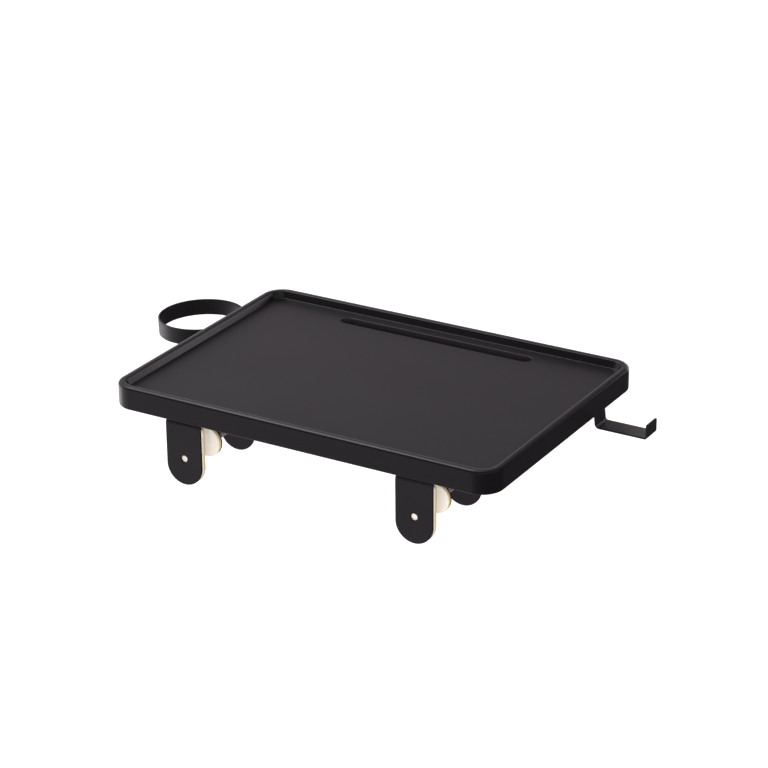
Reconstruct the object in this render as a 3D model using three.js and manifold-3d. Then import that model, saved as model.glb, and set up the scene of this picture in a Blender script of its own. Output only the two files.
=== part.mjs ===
// Bedside shelf tray: a lacquered wooden tray that clamps onto a bed's side rail.
// Two bent steel brackets grip the rail between a fixed pad and a screwed pressure disc.
// A cup ring hangs on the left of the tray and a hook on the right.
// Millimetres. The origin is the centre of the tray's floor, +X runs right along the front edge,
// +Y runs to the back and +Z up. Pieces are drawn from the tray's underside and set down together.
import * as THREE from 'three';
import { mergeVertices, toCreasedNormals } from 'three/addons/utils/BufferGeometryUtils.js';
import loadManifold from 'manifold-3d';

// Tray board
const TRAY_LENGTH = 340;
const TRAY_DEPTH = 240;
const TRAY_HEIGHT = 19.2;
const TRAY_CORNER_RADIUS = 18;
const RIM_WIDTH = 6;
const RECESS_DEPTH = 6;
const RECESS_WALL_LEAN = THREE.MathUtils.degToRad(20);
const FLOOR_FILLET = 2;
const RIM_OUTER_ROUND = 2;
const RIM_INNER_ROUND = 0.8;
const UNDERSIDE_ROUND = 1.5;
// Blind slot for a tablet, near the back rim
const SLOT_LENGTH = 177;
const SLOT_WIDTH = 11.5;
const SLOT_SETBACK = 24.8;
const SLOT_FLOOR = 6.2;
// Clamp brackets, bent from flat strip
const CLAMP_INSET = 67;
const STRIP_THICKNESS = 2;
const BEND_RADIUS = 2;
const BRACKET_WIDTH = 32.1;
const BRACKET_SETBACK = 2.2;
const BRACKET_DEPTH = 76.4;
const LEG_LENGTH = 53.3;
const LEG_HOLE_RADIUS = 3.2;
const LEG_HOLE_DROP = 31.7;
// Jaw of each clamp, as it stands at rest
const JAW_PAD_THICKNESS = 4.5;
const JAW_PAD_ROUND = 0.6;
const JAW_GAP = 23.8;
// Pressure disc with its pad and swivel cup
const PRESSURE_RADIUS = 12.5;
const PRESSURE_PAD_THICKNESS = 3.5;
const PRESSURE_PAD_ROUND = 0.7;
const PRESSURE_PLATE_THICKNESS = 1.5;
const CUP_RADIUS = 7;
const CUP_LENGTH = 7;
const CUP_LIP = 1.8;
// Clamp screw, its nut and its knob
const SCREW_DROP = 28.9;
const SCREW_RADIUS = 4;
const SCREW_CHAMFER = 0.8;
const SWIVEL_RADIUS = 3.4;
const SWIVEL_NECK_RADIUS = 2.4;
const NUT_FLATS = 13;
const NUT_THICKNESS = 6.5;
const NUT_CHAMFER = 1;
const KNOB_RADIUS = 15;
const KNOB_LENGTH = 22;
const KNOB_FLUTES = 8;
const KNOB_FLUTE_DEPTH = 1.6;
const KNOB_HUB_RADIUS = 9;
const KNOB_HUB_LENGTH = 6;
const KNOB_EDGE_ROUND = 2.5;
const KNOB_BORE_DEPTH = 15;
const KNOB_STANDOFF = 1;
// Fittings at the tray's sides, bent from thinner strip, on one cross line
const FITTING_SETBACK = 43;
const FITTING_WIDTH = 17.5;
const FITTING_THICKNESS = 1.5;
const FITTING_BEND_RADIUS = 2.4;
const FLANGE_LENGTH = 36;
// Cup ring
const RING_INNER_RADIUS = 35.4;
const RING_WALL = 1.4;
const RING_HEIGHT = 14;
const RING_EDGE_ROUND = 0.4;
const RING_STANDOFF = 10.5;
const RING_DROP = 1.3;
const RING_TILT = THREE.MathUtils.degToRad(2.1);
const RING_TAB_LENGTH = 12;
// Hook
const HOOK_INSET = 11.1;
const HOOK_DROP = 20.2;
const HOOK_REACH = 45.7;
const HOOK_LEAN = THREE.MathUtils.degToRad(6);
const HOOK_LIP_HEIGHT = 12.4;
const HOOK_LIP_BEND_RADIUS = 1;
// Countersunk wood screws
const WOOD_SCREW_RADIUS = 1.75;
const WOOD_SCREW_HEAD_RADIUS = 3.5;
const WOOD_SCREW_COVER = 2.5;
const WOOD_SCREW_POINT = 3;
const BRACKET_SCREW_INSET_X = 8;
const BRACKET_SCREW_INSET_Y = 16;
const FLANGE_SCREW_INSET = 8;
const FLANGE_SCREW_PITCH = 16;
// Clearances
const THREAD_CLEARANCE = 0.25;
const SWIVEL_CLEARANCE = 0.3;
const SCREW_SEAT_CLEARANCE = 0.2;
const KNOB_BORE_CLEARANCE = 0.15;
const WELD_GAP = 0.3;
const PAD_BEND_CLEARANCE = 0.5;
// Facets
const CORNER_STEPS = 8;
const ROUND_STEPS = 3;
const BEND_STEPS = 5;
const HALF_CIRCLE_STEPS = 16;
const CIRCLE_STEPS = 2 * HALF_CIRCLE_STEPS;
const RING_STEPS = 56;
const FASTENER_STEPS = 16;
const FLUTE_STEPS = 6;
const CREASE_ANGLE = THREE.MathUtils.degToRad(35);
const CUT_MARGIN = 1;
const LEAST_RADIUS = 0.2;

// Places worked out from the driving dimensions
const SIDES = [['left', -1], ['right', 1]];
const floorZ = TRAY_HEIGHT - RECESS_DEPTH;
const clampX = TRAY_LENGTH / 2 - CLAMP_INSET;
const frontLegY = BRACKET_SETBACK - TRAY_DEPTH / 2;
const rearLegY = frontLegY + BRACKET_DEPTH;
const fixedPadY = frontLegY + STRIP_THICKNESS;
const pressureFaceY = fixedPadY + JAW_PAD_THICKNESS + JAW_GAP;
const pressurePlateY = pressureFaceY + PRESSURE_PAD_THICKNESS;
const cupFloorY = pressurePlateY + PRESSURE_PLATE_THICKNESS;
const cupMouthY = cupFloorY + CUP_LENGTH;
const nutBackY = rearLegY + NUT_THICKNESS;
const knobFrontY = nutBackY + JAW_GAP + KNOB_STANDOFF;
const fittingY = TRAY_DEPTH / 2 - FITTING_SETBACK;
const ringRadius = RING_INNER_RADIUS + RING_WALL;
const ringX = -(TRAY_LENGTH / 2 + RING_STANDOFF + ringRadius);
const hookX = TRAY_LENGTH / 2 - HOOK_INSET;

// Finishes
const LACQUER = { color: 0x2b2a2d, roughness: 0.45, metalness: 0 };
const BLACK_STEEL = { color: 0x1d1d1f, roughness: 0.5, metalness: 0.3 };
const CREAM_PAD = { color: 0xe2dccd, roughness: 0.8, metalness: 0 };
const PLATED_STEEL = { color: 0xb9bbbd, roughness: 0.25, metalness: 1 };
const BLACK_PLASTIC = { color: 0x18181a, roughness: 0.6, metalness: 0 };

// Axes that carry a drawn profile (its x, its y, its depth) into the frame
const AXIS_X = new THREE.Vector3(1, 0, 0);
const AXIS_Y = new THREE.Vector3(0, 1, 0);
const AXIS_Z = new THREE.Vector3(0, 0, 1);
const SIDE_PLANE = new THREE.Matrix4().makeBasis(AXIS_Y, AXIS_Z, AXIS_X);
const FRONT_PLANE = new THREE.Matrix4().makeBasis(AXIS_X, AXIS_Z, AXIS_Y.clone().negate());

const wasm = await loadManifold();
wasm.setup();

// The assembly stands with the surface of the tray's floor at height zero
const model = new THREE.Group();
const assembly = new THREE.Group();
assembly.position.z = -floorZ;
model.add(assembly);
const point2 = (x, y) => new THREE.Vector2(x, y);

// Boolean solids

// Indexed copy of a geometry with shared vertices merged and collapsed triangles left out
function welded(geometry) {
  const bare = geometry.clone();
  bare.deleteAttribute('normal');
  bare.deleteAttribute('uv');
  const merged = mergeVertices(bare);
  const index = merged.index.array;
  const kept = [];
  for (let i = 0; i < index.length; i += 3) {
    const [a, b, c] = index.slice(i, i + 3);
    if (a !== b && b !== c && c !== a) kept.push(a, b, c);
  }
  merged.setIndex(kept);
  return merged;
}

function solid(geometry) {
  const { attributes, index } = welded(geometry);
  return new wasm.Manifold(new wasm.Mesh({
    numProp: 3,
    vertProperties: new Float32Array(attributes.position.array),
    triVerts: new Uint32Array(index.array),
  }));
}

function geometryOf(body) {
  const { vertProperties, triVerts } = body.getMesh();
  const geometry = new THREE.BufferGeometry();
  geometry.setAttribute('position', new THREE.BufferAttribute(vertProperties, 3));
  geometry.setIndex(new THREE.BufferAttribute(triVerts, 1));
  return geometry;
}

function cut(geometry, tools) {
  const body = tools.reduce((rest, tool) => rest.subtract(solid(tool)), solid(geometry));
  return geometryOf(body);
}

function addPiece(name, geometry, finish, parent = assembly) {
  const shaded = toCreasedNormals(welded(geometry), CREASE_ANGLE);
  const piece = new THREE.Mesh(shaded, new THREE.MeshStandardMaterial(finish));
  piece.name = name;
  parent.add(piece);
  return piece;
}

// Profiles

// Points of a circular arc, its ends included, from one angle to another
function arcPoints(centreX, centreY, radius, from, to) {
  const arc = new THREE.EllipseCurve(centreX, centreY, radius, radius, from, to, to < from);
  return arc.getPoints(ROUND_STEPS);
}

function revolve(profile, steps) {
  return new THREE.LatheGeometry(profile, steps);
}

function prism(shape, depth) {
  return new THREE.ExtrudeGeometry(shape, { depth, bevelEnabled: false, curveSegments: HALF_CIRCLE_STEPS });
}

// Prism centred across a plane of the frame
function extrude(shape, depth, plane) {
  return prism(shape, depth).translate(0, 0, -depth / 2).applyMatrix4(plane);
}

// Straight-sided rod along +Y from one height to another, used for holes
function rodY(radius, fromY, toY, steps) {
  return revolve([point2(0, fromY), point2(radius, fromY), point2(radius, toY), point2(0, toY)], steps);
}

// Closed skin over rings with the same count of points, with a fan over each end
function loft(rings) {
  const count = rings[0].length;
  const mean = (ring) => ring.reduce((sum, p) => sum.add(p), new THREE.Vector3()).divideScalar(count);
  const points = [...rings.flat(), mean(rings[0]), mean(rings.at(-1))];
  const startCentre = rings.length * count;
  const endCentre = startCentre + 1;
  const lastRing = (rings.length - 1) * count;
  const index = [];
  for (let j = 0; j < count; j++) {
    const next = (j + 1) % count;
    index.push(startCentre, next, j);
    index.push(endCentre, lastRing + j, lastRing + next);
    for (let ring = 0; ring < lastRing; ring += count) {
      index.push(ring + j, ring + next, ring + count + next);
      index.push(ring + j, ring + count + next, ring + count + j);
    }
  }
  const geometry = new THREE.BufferGeometry().setFromPoints(points);
  geometry.setIndex(index);
  return geometry;
}

// Outline of a flat strip whose middle line runs through the corner points, with an inside radius
// for each bend
function bentStrip(corners, thickness, insideRadii) {
  const origin = point2(0, 0);
  const leftOf = (direction) => point2(-direction.y, direction.x);
  const leftEdge = [];
  const rightEdge = [];
  const addStation = (place, direction) => {
    leftEdge.push(place.clone().addScaledVector(leftOf(direction), thickness / 2));
    rightEdge.unshift(place.clone().addScaledVector(leftOf(direction), -thickness / 2));
  };
  const runs = corners.slice(1).map((corner, i) => corner.clone().sub(corners[i]).normalize());
  addStation(corners[0], runs[0]);
  for (let i = 1; i < runs.length; i++) {
    const radius = insideRadii[i - 1] + thickness / 2;
    const turn = Math.atan2(runs[i - 1].cross(runs[i]), runs[i - 1].dot(runs[i]));
    const side = radius * Math.sign(turn);
    const setback = radius * Math.tan(Math.abs(turn) / 2);
    const bendStart = corners[i].clone().addScaledVector(runs[i - 1], -setback);
    const bendCentre = bendStart.addScaledVector(leftOf(runs[i - 1]), side);
    for (let step = 0; step <= BEND_STEPS; step++) {
      const direction = runs[i - 1].clone().rotateAround(origin, turn * step / BEND_STEPS);
      addStation(bendCentre.clone().addScaledVector(leftOf(direction), -side), direction);
    }
  }
  addStation(corners.at(-1), runs.at(-1));
  return new THREE.Shape([...leftEdge, ...rightEdge]);
}

// Tongue outline, straight from its top down to a half-round tip
function tongue(width, topZ, tipZ) {
  const half = width / 2;
  const shape = new THREE.Shape();
  shape.moveTo(half, topZ);
  shape.lineTo(-half, topZ);
  shape.absarc(0, tipZ + half, half, Math.PI, 2 * Math.PI);
  return shape;
}

// Wood screws

// A screw stands head down in the underside of a strip, with its point up in the tray
const pilotHoles = [];

function woodScrewShape(x, y, stripThickness, grow, headDrop) {
  const headZ = -stripThickness;
  const shankRadius = WOOD_SCREW_RADIUS + grow;
  const headRadius = WOOD_SCREW_HEAD_RADIUS + grow;
  const tipZ = floorZ - WOOD_SCREW_COVER + grow;
  const geometry = revolve([
    point2(0, headZ - headDrop),
    point2(headRadius, headZ - headDrop),
    point2(headRadius, headZ),
    point2(shankRadius, headZ + headRadius - shankRadius),
    point2(shankRadius, tipZ - WOOD_SCREW_POINT),
    point2(0, tipZ),
  ], FASTENER_STEPS);
  return geometry.rotateX(Math.PI / 2).translate(x, y, 0);
}

// Adds the screws of one strip and returns the holes that they need
function placeWoodScrews(stem, stripThickness, places) {
  const holes = places.map(([x, y], i) => {
    addPiece(`${stem}_screw_${i + 1}`, woodScrewShape(x, y, stripThickness, 0, 0), PLATED_STEEL);
    return woodScrewShape(x, y, stripThickness, SCREW_SEAT_CLEARANCE, CUT_MARGIN);
  });
  pilotHoles.push(...holes);
  return holes;
}

// Clamps

function clampBracket(x, screwHoles) {
  const half = STRIP_THICKNESS / 2;
  const strip = bentStrip([
    point2(frontLegY + half, -LEG_LENGTH),
    point2(frontLegY + half, -half),
    point2(rearLegY - half, -half),
    point2(rearLegY - half, -LEG_LENGTH),
  ], STRIP_THICKNESS, [BEND_RADIUS, BEND_RADIUS]);
  const bent = solid(extrude(strip, BRACKET_WIDTH, SIDE_PLANE));
  const legOutline = tongue(BRACKET_WIDTH, CUT_MARGIN, -LEG_LENGTH);
  const trimmed = bent.intersect(solid(extrude(legOutline, 2 * TRAY_DEPTH, FRONT_PLANE)));
  const frontHole = rodY(LEG_HOLE_RADIUS, frontLegY - CUT_MARGIN, fixedPadY + CUT_MARGIN, CIRCLE_STEPS);
  const rearHole = rodY(
    SCREW_RADIUS + THREAD_CLEARANCE,
    rearLegY - STRIP_THICKNESS - CUT_MARGIN,
    rearLegY + CUT_MARGIN,
    CIRCLE_STEPS,
  );
  const drilled = cut(geometryOf(trimmed), [
    frontHole.translate(0, 0, -LEG_HOLE_DROP),
    rearHole.translate(0, 0, -SCREW_DROP),
  ]);
  return cut(drilled.translate(x, 0, 0), screwHoles);
}

// Pad on the front leg's inner face, with the leg's outline below the bend
function fixedJawPad() {
  const topZ = -(STRIP_THICKNESS + BEND_RADIUS + PAD_BEND_CLEARANCE);
  const round = JAW_PAD_ROUND;
  const outline = tongue(BRACKET_WIDTH - 2 * round, topZ - round, round - LEG_LENGTH);
  const geometry = new THREE.ExtrudeGeometry(outline, {
    depth: JAW_PAD_THICKNESS - 2 * round,
    bevelSize: round,
    bevelThickness: round,
    bevelSegments: ROUND_STEPS,
    curveSegments: HALF_CIRCLE_STEPS,
  });
  geometry.translate(0, 0, round - JAW_PAD_THICKNESS);
  return geometry.applyMatrix4(FRONT_PLANE).translate(0, fixedPadY, 0);
}

function pressurePad() {
  const round = PRESSURE_PAD_ROUND;
  const backY = pressureFaceY + PRESSURE_PAD_THICKNESS;
  return revolve([
    point2(0, pressureFaceY),
    ...arcPoints(PRESSURE_RADIUS - round, pressureFaceY + round, round, -Math.PI / 2, 0),
    point2(PRESSURE_RADIUS, backY),
    point2(0, backY),
  ], CIRCLE_STEPS);
}

// Plate with a cup whose lip holds the screw's swivel tip
function pressureDisc() {
  const cavityRadius = SWIVEL_RADIUS + SWIVEL_CLEARANCE;
  const mouthRadius = SWIVEL_NECK_RADIUS + SWIVEL_CLEARANCE;
  const lipY = cupMouthY - CUP_LIP;
  return revolve([
    point2(0, pressurePlateY),
    point2(PRESSURE_RADIUS, pressurePlateY),
    point2(PRESSURE_RADIUS, cupFloorY),
    point2(CUP_RADIUS, cupFloorY),
    point2(CUP_RADIUS, cupMouthY),
    point2(mouthRadius, cupMouthY),
    point2(mouthRadius, lipY),
    point2(cavityRadius, lipY),
    point2(cavityRadius, cupFloorY),
    point2(0, cupFloorY),
  ], CIRCLE_STEPS);
}

// Rod with a swivel tip in the cup and its back end in the knob's bore
function clampScrew() {
  const tipY = cupFloorY + SWIVEL_CLEARANCE;
  const tipBackY = cupMouthY - CUP_LIP - SWIVEL_CLEARANCE;
  const shoulderY = cupMouthY + SWIVEL_CLEARANCE;
  const endY = knobFrontY + KNOB_BORE_DEPTH - KNOB_BORE_CLEARANCE;
  return revolve([
    point2(0, tipY),
    point2(SWIVEL_RADIUS - SCREW_CHAMFER, tipY),
    point2(SWIVEL_RADIUS, tipY + SCREW_CHAMFER),
    point2(SWIVEL_RADIUS, tipBackY),
    point2(SWIVEL_NECK_RADIUS, tipBackY),
    point2(SWIVEL_NECK_RADIUS, shoulderY),
    point2(SCREW_RADIUS - SCREW_CHAMFER, shoulderY),
    point2(SCREW_RADIUS, shoulderY + SCREW_CHAMFER),
    point2(SCREW_RADIUS, endY),
    point2(0, endY),
  ], CIRCLE_STEPS);
}

// Hexagon nut, chamfered on its back face, welded to the rear leg
function weldNut() {
  const cornerRadius = NUT_FLATS / Math.sqrt(3);
  const hexagon = new THREE.CylinderGeometry(cornerRadius, cornerRadius, NUT_THICKNESS, 6);
  const chamfered = solid(hexagon.translate(0, rearLegY + NUT_THICKNESS / 2, 0)).intersect(solid(revolve([
    point2(0, rearLegY),
    point2(cornerRadius + CUT_MARGIN, rearLegY),
    point2(cornerRadius + CUT_MARGIN, nutBackY - NUT_CHAMFER / 2),
    point2(cornerRadius - NUT_CHAMFER, nutBackY),
    point2(0, nutBackY),
  ], CIRCLE_STEPS)));
  const boreRadius = SCREW_RADIUS + THREAD_CLEARANCE;
  const bore = rodY(boreRadius, rearLegY - CUT_MARGIN, nutBackY + CUT_MARGIN, CIRCLE_STEPS);
  return cut(geometryOf(chamfered), [bore]);
}

// Ring of the knob at one depth, with hollows between its lobes
function knobRing(radius, fluteDepth, y) {
  const count = KNOB_FLUTES * FLUTE_STEPS;
  return Array.from({ length: count }, (_, i) => {
    const angle = 2 * Math.PI * i / count;
    const hollow = fluteDepth * (1 + Math.cos(KNOB_FLUTES * angle)) / 2;
    return new THREE.Vector3((radius - hollow) * Math.sin(angle), y, (radius - hollow) * Math.cos(angle));
  });
}

// Fluted grip on a round hub, bored from the front for the screw
function knob() {
  const gripY = knobFrontY + KNOB_HUB_LENGTH;
  const backY = knobFrontY + KNOB_LENGTH;
  const inner = KNOB_RADIUS - KNOB_EDGE_ROUND;
  const frontEdge = arcPoints(inner, gripY + KNOB_EDGE_ROUND, KNOB_EDGE_ROUND, -Math.PI / 2, 0);
  const backEdge = arcPoints(inner, backY - KNOB_EDGE_ROUND, KNOB_EDGE_ROUND, 0, Math.PI / 2);
  const flutePerRadius = KNOB_FLUTE_DEPTH / (KNOB_RADIUS - KNOB_HUB_RADIUS);
  const fluteAt = (radius) => flutePerRadius * (radius - KNOB_HUB_RADIUS);
  const body = loft([
    knobRing(KNOB_HUB_RADIUS, 0, knobFrontY),
    knobRing(KNOB_HUB_RADIUS, 0, gripY),
    ...[...frontEdge, ...backEdge].map(({ x, y }) => knobRing(x, fluteAt(x), y)),
  ]);
  const boreEnd = knobFrontY + KNOB_BORE_DEPTH;
  const bore = rodY(SCREW_RADIUS + KNOB_BORE_CLEARANCE, knobFrontY - CUT_MARGIN, boreEnd, CIRCLE_STEPS);
  return cut(body, [bore]);
}

for (const [side, sign] of SIDES) {
  const x = sign * clampX;
  const screwRows = [frontLegY + BRACKET_SCREW_INSET_Y, rearLegY - BRACKET_SCREW_INSET_Y];
  const screwOffset = BRACKET_WIDTH / 2 - BRACKET_SCREW_INSET_X;
  const places = screwRows.flatMap((y) => [[x - screwOffset, y], [x + screwOffset, y]]);
  const screwHoles = placeWoodScrews(`${side}_bracket`, STRIP_THICKNESS, places);
  addPiece(`${side}_clamp_bracket`, clampBracket(x, screwHoles), BLACK_STEEL);
  addPiece(`${side}_fixed_jaw_pad`, fixedJawPad().translate(x, 0, 0), CREAM_PAD);
  const axis = new THREE.Group();
  axis.position.set(x, 0, -SCREW_DROP);
  addPiece(`${side}_weld_nut`, weldNut(), BLACK_STEEL, axis);
  addPiece(`${side}_clamp_screw`, clampScrew(), PLATED_STEEL, axis);
  addPiece(`${side}_knob`, knob(), BLACK_PLASTIC, axis);
  addPiece(`${side}_pressure_disc`, pressureDisc(), BLACK_STEEL, axis);
  addPiece(`${side}_pressure_pad`, pressurePad(), CREAM_PAD, axis);
  assembly.add(axis);
}

// Fittings under the tray's sides

// A pair of screws across a flange, inset from its inner end
function flangeScrews(stem, endX, inward) {
  const first = endX - inward * FLANGE_SCREW_INSET;
  const second = first - inward * FLANGE_SCREW_PITCH;
  return placeWoodScrews(stem, FITTING_THICKNESS, [[first, fittingY], [second, fittingY]]);
}

function cupRing() {
  const round = RING_EDGE_ROUND;
  const rounded = [
    ...arcPoints(ringRadius - round, -RING_HEIGHT + round, round, -Math.PI / 2, 0),
    ...arcPoints(ringRadius - round, -round, round, 0, Math.PI / 2),
    ...arcPoints(RING_INNER_RADIUS + round, -round, round, Math.PI / 2, Math.PI),
    ...arcPoints(RING_INNER_RADIUS + round, -RING_HEIGHT + round, round, Math.PI, Math.PI * 3 / 2),
  ];
  return revolve([...rounded, rounded[0]], RING_STEPS).rotateX(Math.PI / 2);
}

// Strip under the tray with a tab turned down along the ring's wall
function cupRingBracket(screwHoles) {
  const half = FITTING_THICKNESS / 2;
  const lean = point2(Math.sin(RING_TILT), -Math.cos(RING_TILT));
  const wallX = ringX + ringRadius * Math.cos(RING_TILT);
  const tabX = wallX + (WELD_GAP + half) / Math.cos(RING_TILT);
  const tabEnd = point2(tabX, -half).addScaledVector(lean, RING_TAB_LENGTH);
  const strip = bentStrip([
    point2(FLANGE_LENGTH - TRAY_LENGTH / 2, -half),
    point2(tabX, -half),
    tabEnd,
  ], FITTING_THICKNESS, [FITTING_BEND_RADIUS]);
  return cut(extrude(strip, FITTING_WIDTH, FRONT_PLANE).translate(0, fittingY, 0), screwHoles);
}

function hook(screwHoles) {
  const half = FITTING_THICKNESS / 2;
  const legTop = point2(hookX - half, -half);
  const armZ = half - HOOK_DROP;
  const legFootX = legTop.x + (legTop.y - armZ) * Math.tan(HOOK_LEAN);
  const lipX = hookX + HOOK_REACH - half;
  const strip = bentStrip([
    point2(hookX - FLANGE_LENGTH, -half),
    legTop,
    point2(legFootX, armZ),
    point2(lipX, armZ),
    point2(lipX, HOOK_LIP_HEIGHT - HOOK_DROP),
  ], FITTING_THICKNESS, [FITTING_BEND_RADIUS, FITTING_BEND_RADIUS, HOOK_LIP_BEND_RADIUS]);
  return cut(extrude(strip, FITTING_WIDTH, FRONT_PLANE).translate(0, fittingY, 0), screwHoles);
}

const ringGroup = new THREE.Group();
ringGroup.position.set(ringX, fittingY, -RING_DROP);
ringGroup.rotation.y = -RING_TILT;
addPiece('cup_ring', cupRing(), BLACK_STEEL, ringGroup);
assembly.add(ringGroup);
const ringScrewHoles = flangeScrews('cup_ring', FLANGE_LENGTH - TRAY_LENGTH / 2, 1);
addPiece('cup_ring_bracket', cupRingBracket(ringScrewHoles), BLACK_STEEL);
const hookScrewHoles = flangeScrews('hook', hookX - FLANGE_LENGTH, -1);
addPiece('hook', hook(hookScrewHoles), BLACK_STEEL);

// Tray board

// Rounded rectangle of the tray drawn in by an inset, at one height
function trayRing(inset, z) {
  const radius = Math.max(TRAY_CORNER_RADIUS - inset, LEAST_RADIUS);
  const centreX = TRAY_LENGTH / 2 - inset - radius;
  const centreY = TRAY_DEPTH / 2 - inset - radius;
  const corners = [[centreX, centreY], [-centreX, centreY], [-centreX, -centreY], [centreX, -centreY]];
  return corners.flatMap(([x, y], i) => {
    const arc = new THREE.EllipseCurve(x, y, radius, radius, i * Math.PI / 2, (i + 1) * Math.PI / 2);
    return arc.getPoints(CORNER_STEPS).map((p) => new THREE.Vector3(p.x, p.y, z));
  });
}

// The rim's section, as inset and height, runs from the underside over the rim and down its leaning
// inner wall to the floor
function rimSection() {
  const outer = Math.min(RIM_OUTER_ROUND, RECESS_DEPTH / 2, RIM_WIDTH / 2);
  const inner = Math.min(RIM_INNER_ROUND, RECESS_DEPTH / 2, RIM_WIDTH / 2);
  const fillet = Math.min(FLOOR_FILLET, RECESS_DEPTH / 2);
  const slant = Math.sin(RECESS_WALL_LEAN);
  const rise = Math.cos(RECESS_WALL_LEAN);
  const innerX = RIM_WIDTH - inner * (1 - slant) / rise;
  const filletX = RIM_WIDTH + (fillet + slant * (RECESS_DEPTH - fillet)) / rise;
  return [
    ...arcPoints(UNDERSIDE_ROUND, UNDERSIDE_ROUND, UNDERSIDE_ROUND, Math.PI * 3 / 2, Math.PI),
    ...arcPoints(outer, TRAY_HEIGHT - outer, outer, Math.PI, Math.PI / 2),
    ...arcPoints(innerX, TRAY_HEIGHT - inner, inner, Math.PI / 2, RECESS_WALL_LEAN),
    ...arcPoints(filletX, floorZ + fillet, fillet, Math.PI + RECESS_WALL_LEAN, Math.PI * 3 / 2),
  ];
}

function slotCutter() {
  const half = SLOT_WIDTH / 2;
  const straight = SLOT_LENGTH / 2 - half;
  const outline = new THREE.Shape();
  outline.absarc(straight, 0, half, -Math.PI / 2, Math.PI / 2);
  outline.absarc(-straight, 0, half, Math.PI / 2, Math.PI * 3 / 2);
  return prism(outline, TRAY_HEIGHT - SLOT_FLOOR).translate(0, TRAY_DEPTH / 2 - SLOT_SETBACK, SLOT_FLOOR);
}

function trayBoard() {
  const board = loft(rimSection().map(({ x, y }) => trayRing(x, y)));
  return cut(board, [slotCutter(), ...pilotHoles]);
}

addPiece('tray_board', trayBoard(), LACQUER);

export default model;
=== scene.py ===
# Looks of the bedside shelf tray over its fixed frame: the lacquered board, the bent steel fittings,
# the clamps with their pads, screws and knobs, a plain floor, soft light and the camera.
import math
from itertools import chain

import bmesh
import bpy
from mathutils import Matrix, Vector


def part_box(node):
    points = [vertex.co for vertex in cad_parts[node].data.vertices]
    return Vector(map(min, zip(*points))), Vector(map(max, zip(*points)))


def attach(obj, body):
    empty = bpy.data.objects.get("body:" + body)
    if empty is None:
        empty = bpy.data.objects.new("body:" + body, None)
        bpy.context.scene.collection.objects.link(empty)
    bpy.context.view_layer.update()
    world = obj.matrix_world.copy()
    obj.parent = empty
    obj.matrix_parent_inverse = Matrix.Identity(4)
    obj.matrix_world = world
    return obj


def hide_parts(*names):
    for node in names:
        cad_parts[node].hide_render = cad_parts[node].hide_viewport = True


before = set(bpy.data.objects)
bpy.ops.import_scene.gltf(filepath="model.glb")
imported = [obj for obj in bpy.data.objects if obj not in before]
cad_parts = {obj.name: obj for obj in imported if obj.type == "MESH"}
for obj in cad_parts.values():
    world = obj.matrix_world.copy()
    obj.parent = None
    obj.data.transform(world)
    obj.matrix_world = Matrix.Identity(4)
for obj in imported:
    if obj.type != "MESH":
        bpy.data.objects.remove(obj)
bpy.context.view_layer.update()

# Shapes are drawn in millimetres, in the frame's own axes
MM = 0.001
RIGHT_ANGLE = math.pi / 2

# Tray board
TRAY_CORNER_RADIUS = 18
RIM_WIDTH = 6
RIM_OUTER_ROUND = 2
RIM_INNER_ROUND = 0.8
RIM_CROWN = math.radians(14)
WALL_LEAN = math.radians(20)
FLOOR_FILLET = 0.5
UNDERSIDE_ROUND = 1.5
SLOT_LENGTH = 177
SLOT_WIDTH = 11.5
SLOT_SETBACK = 24.8
SLOT_BOTTOM = -7
SLOT_LIP_ROUND = 0.4
SLOT_FOOT_ROUND = 1.2
# Clamp brackets
STRIP_THICKNESS = 2
STRIP_BEND_RADIUS = 2
STRIP_EDGE_ROUND = 0.35
LEG_HOLE_RADIUS = 2.7
LEG_HOLE_CHAMFER = 0.8
LEG_HOLE_HEIGHT = -44.9
HOLE_CHAMFER = 0.3
# Pads, pressure discs and clamp screws
FIXED_PAD_EDGE_ROUND = 0.9
FIXED_PAD_TOP_RADIUS = 2
# Half of the depth over which the fixed pad's painted side shade deepens from buff to tan
FIXED_PAD_SHADE_HALF_DEPTH = 1
PRESSURE_PAD_EDGE_ROUND = 1
PRESSURE_PAD_CROWN = 0.15
CROWN_STATION = 0.6
PLATE_THICKNESS = 1.5
PLATE_EDGE_ROUND = 0.35
CUP_RADIUS = 7
CUP_EDGE_ROUND = 1
CUP_LIP = 1.8
CUP_CAVITY_RADIUS = 3.7
CUP_MOUTH_RADIUS = 2.7
SCREW_RADIUS = 4
THREAD_DEPTH = 0.72
THREAD_PITCH = 1.25
SWIVEL_RADIUS = 3.4
SWIVEL_NECK_RADIUS = 2.4
SWIVEL_TIP_LENGTH = 4.6
SWIVEL_NECK_LENGTH = 7
SWIVEL_CHAMFER = 0.8
# Weld nuts
NUT_FLATS = 13
NUT_CHAMFER = 2
NUT_CHAMFER_RISE = 0.6
NUT_BORE_RADIUS = 4.25
NUT_BORE_CHAMFER = 0.6
NUT_BEAD_RADIUS = 1.1
# Knobs
KNOB_FLUTES = 8
KNOB_FLUTE_DEPTH = 1.6
KNOB_HUB_RADIUS = 9
KNOB_HUB_LENGTH = 6
KNOB_HUB_FILLET = 1
KNOB_EDGE_ROUND = 2.5
KNOB_BORE_RADIUS = 4.15
KNOB_BORE_DEPTH = 15
KNOB_DISH_RADIUS = 9.5
KNOB_DISH_DEPTH = 0.8
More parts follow.
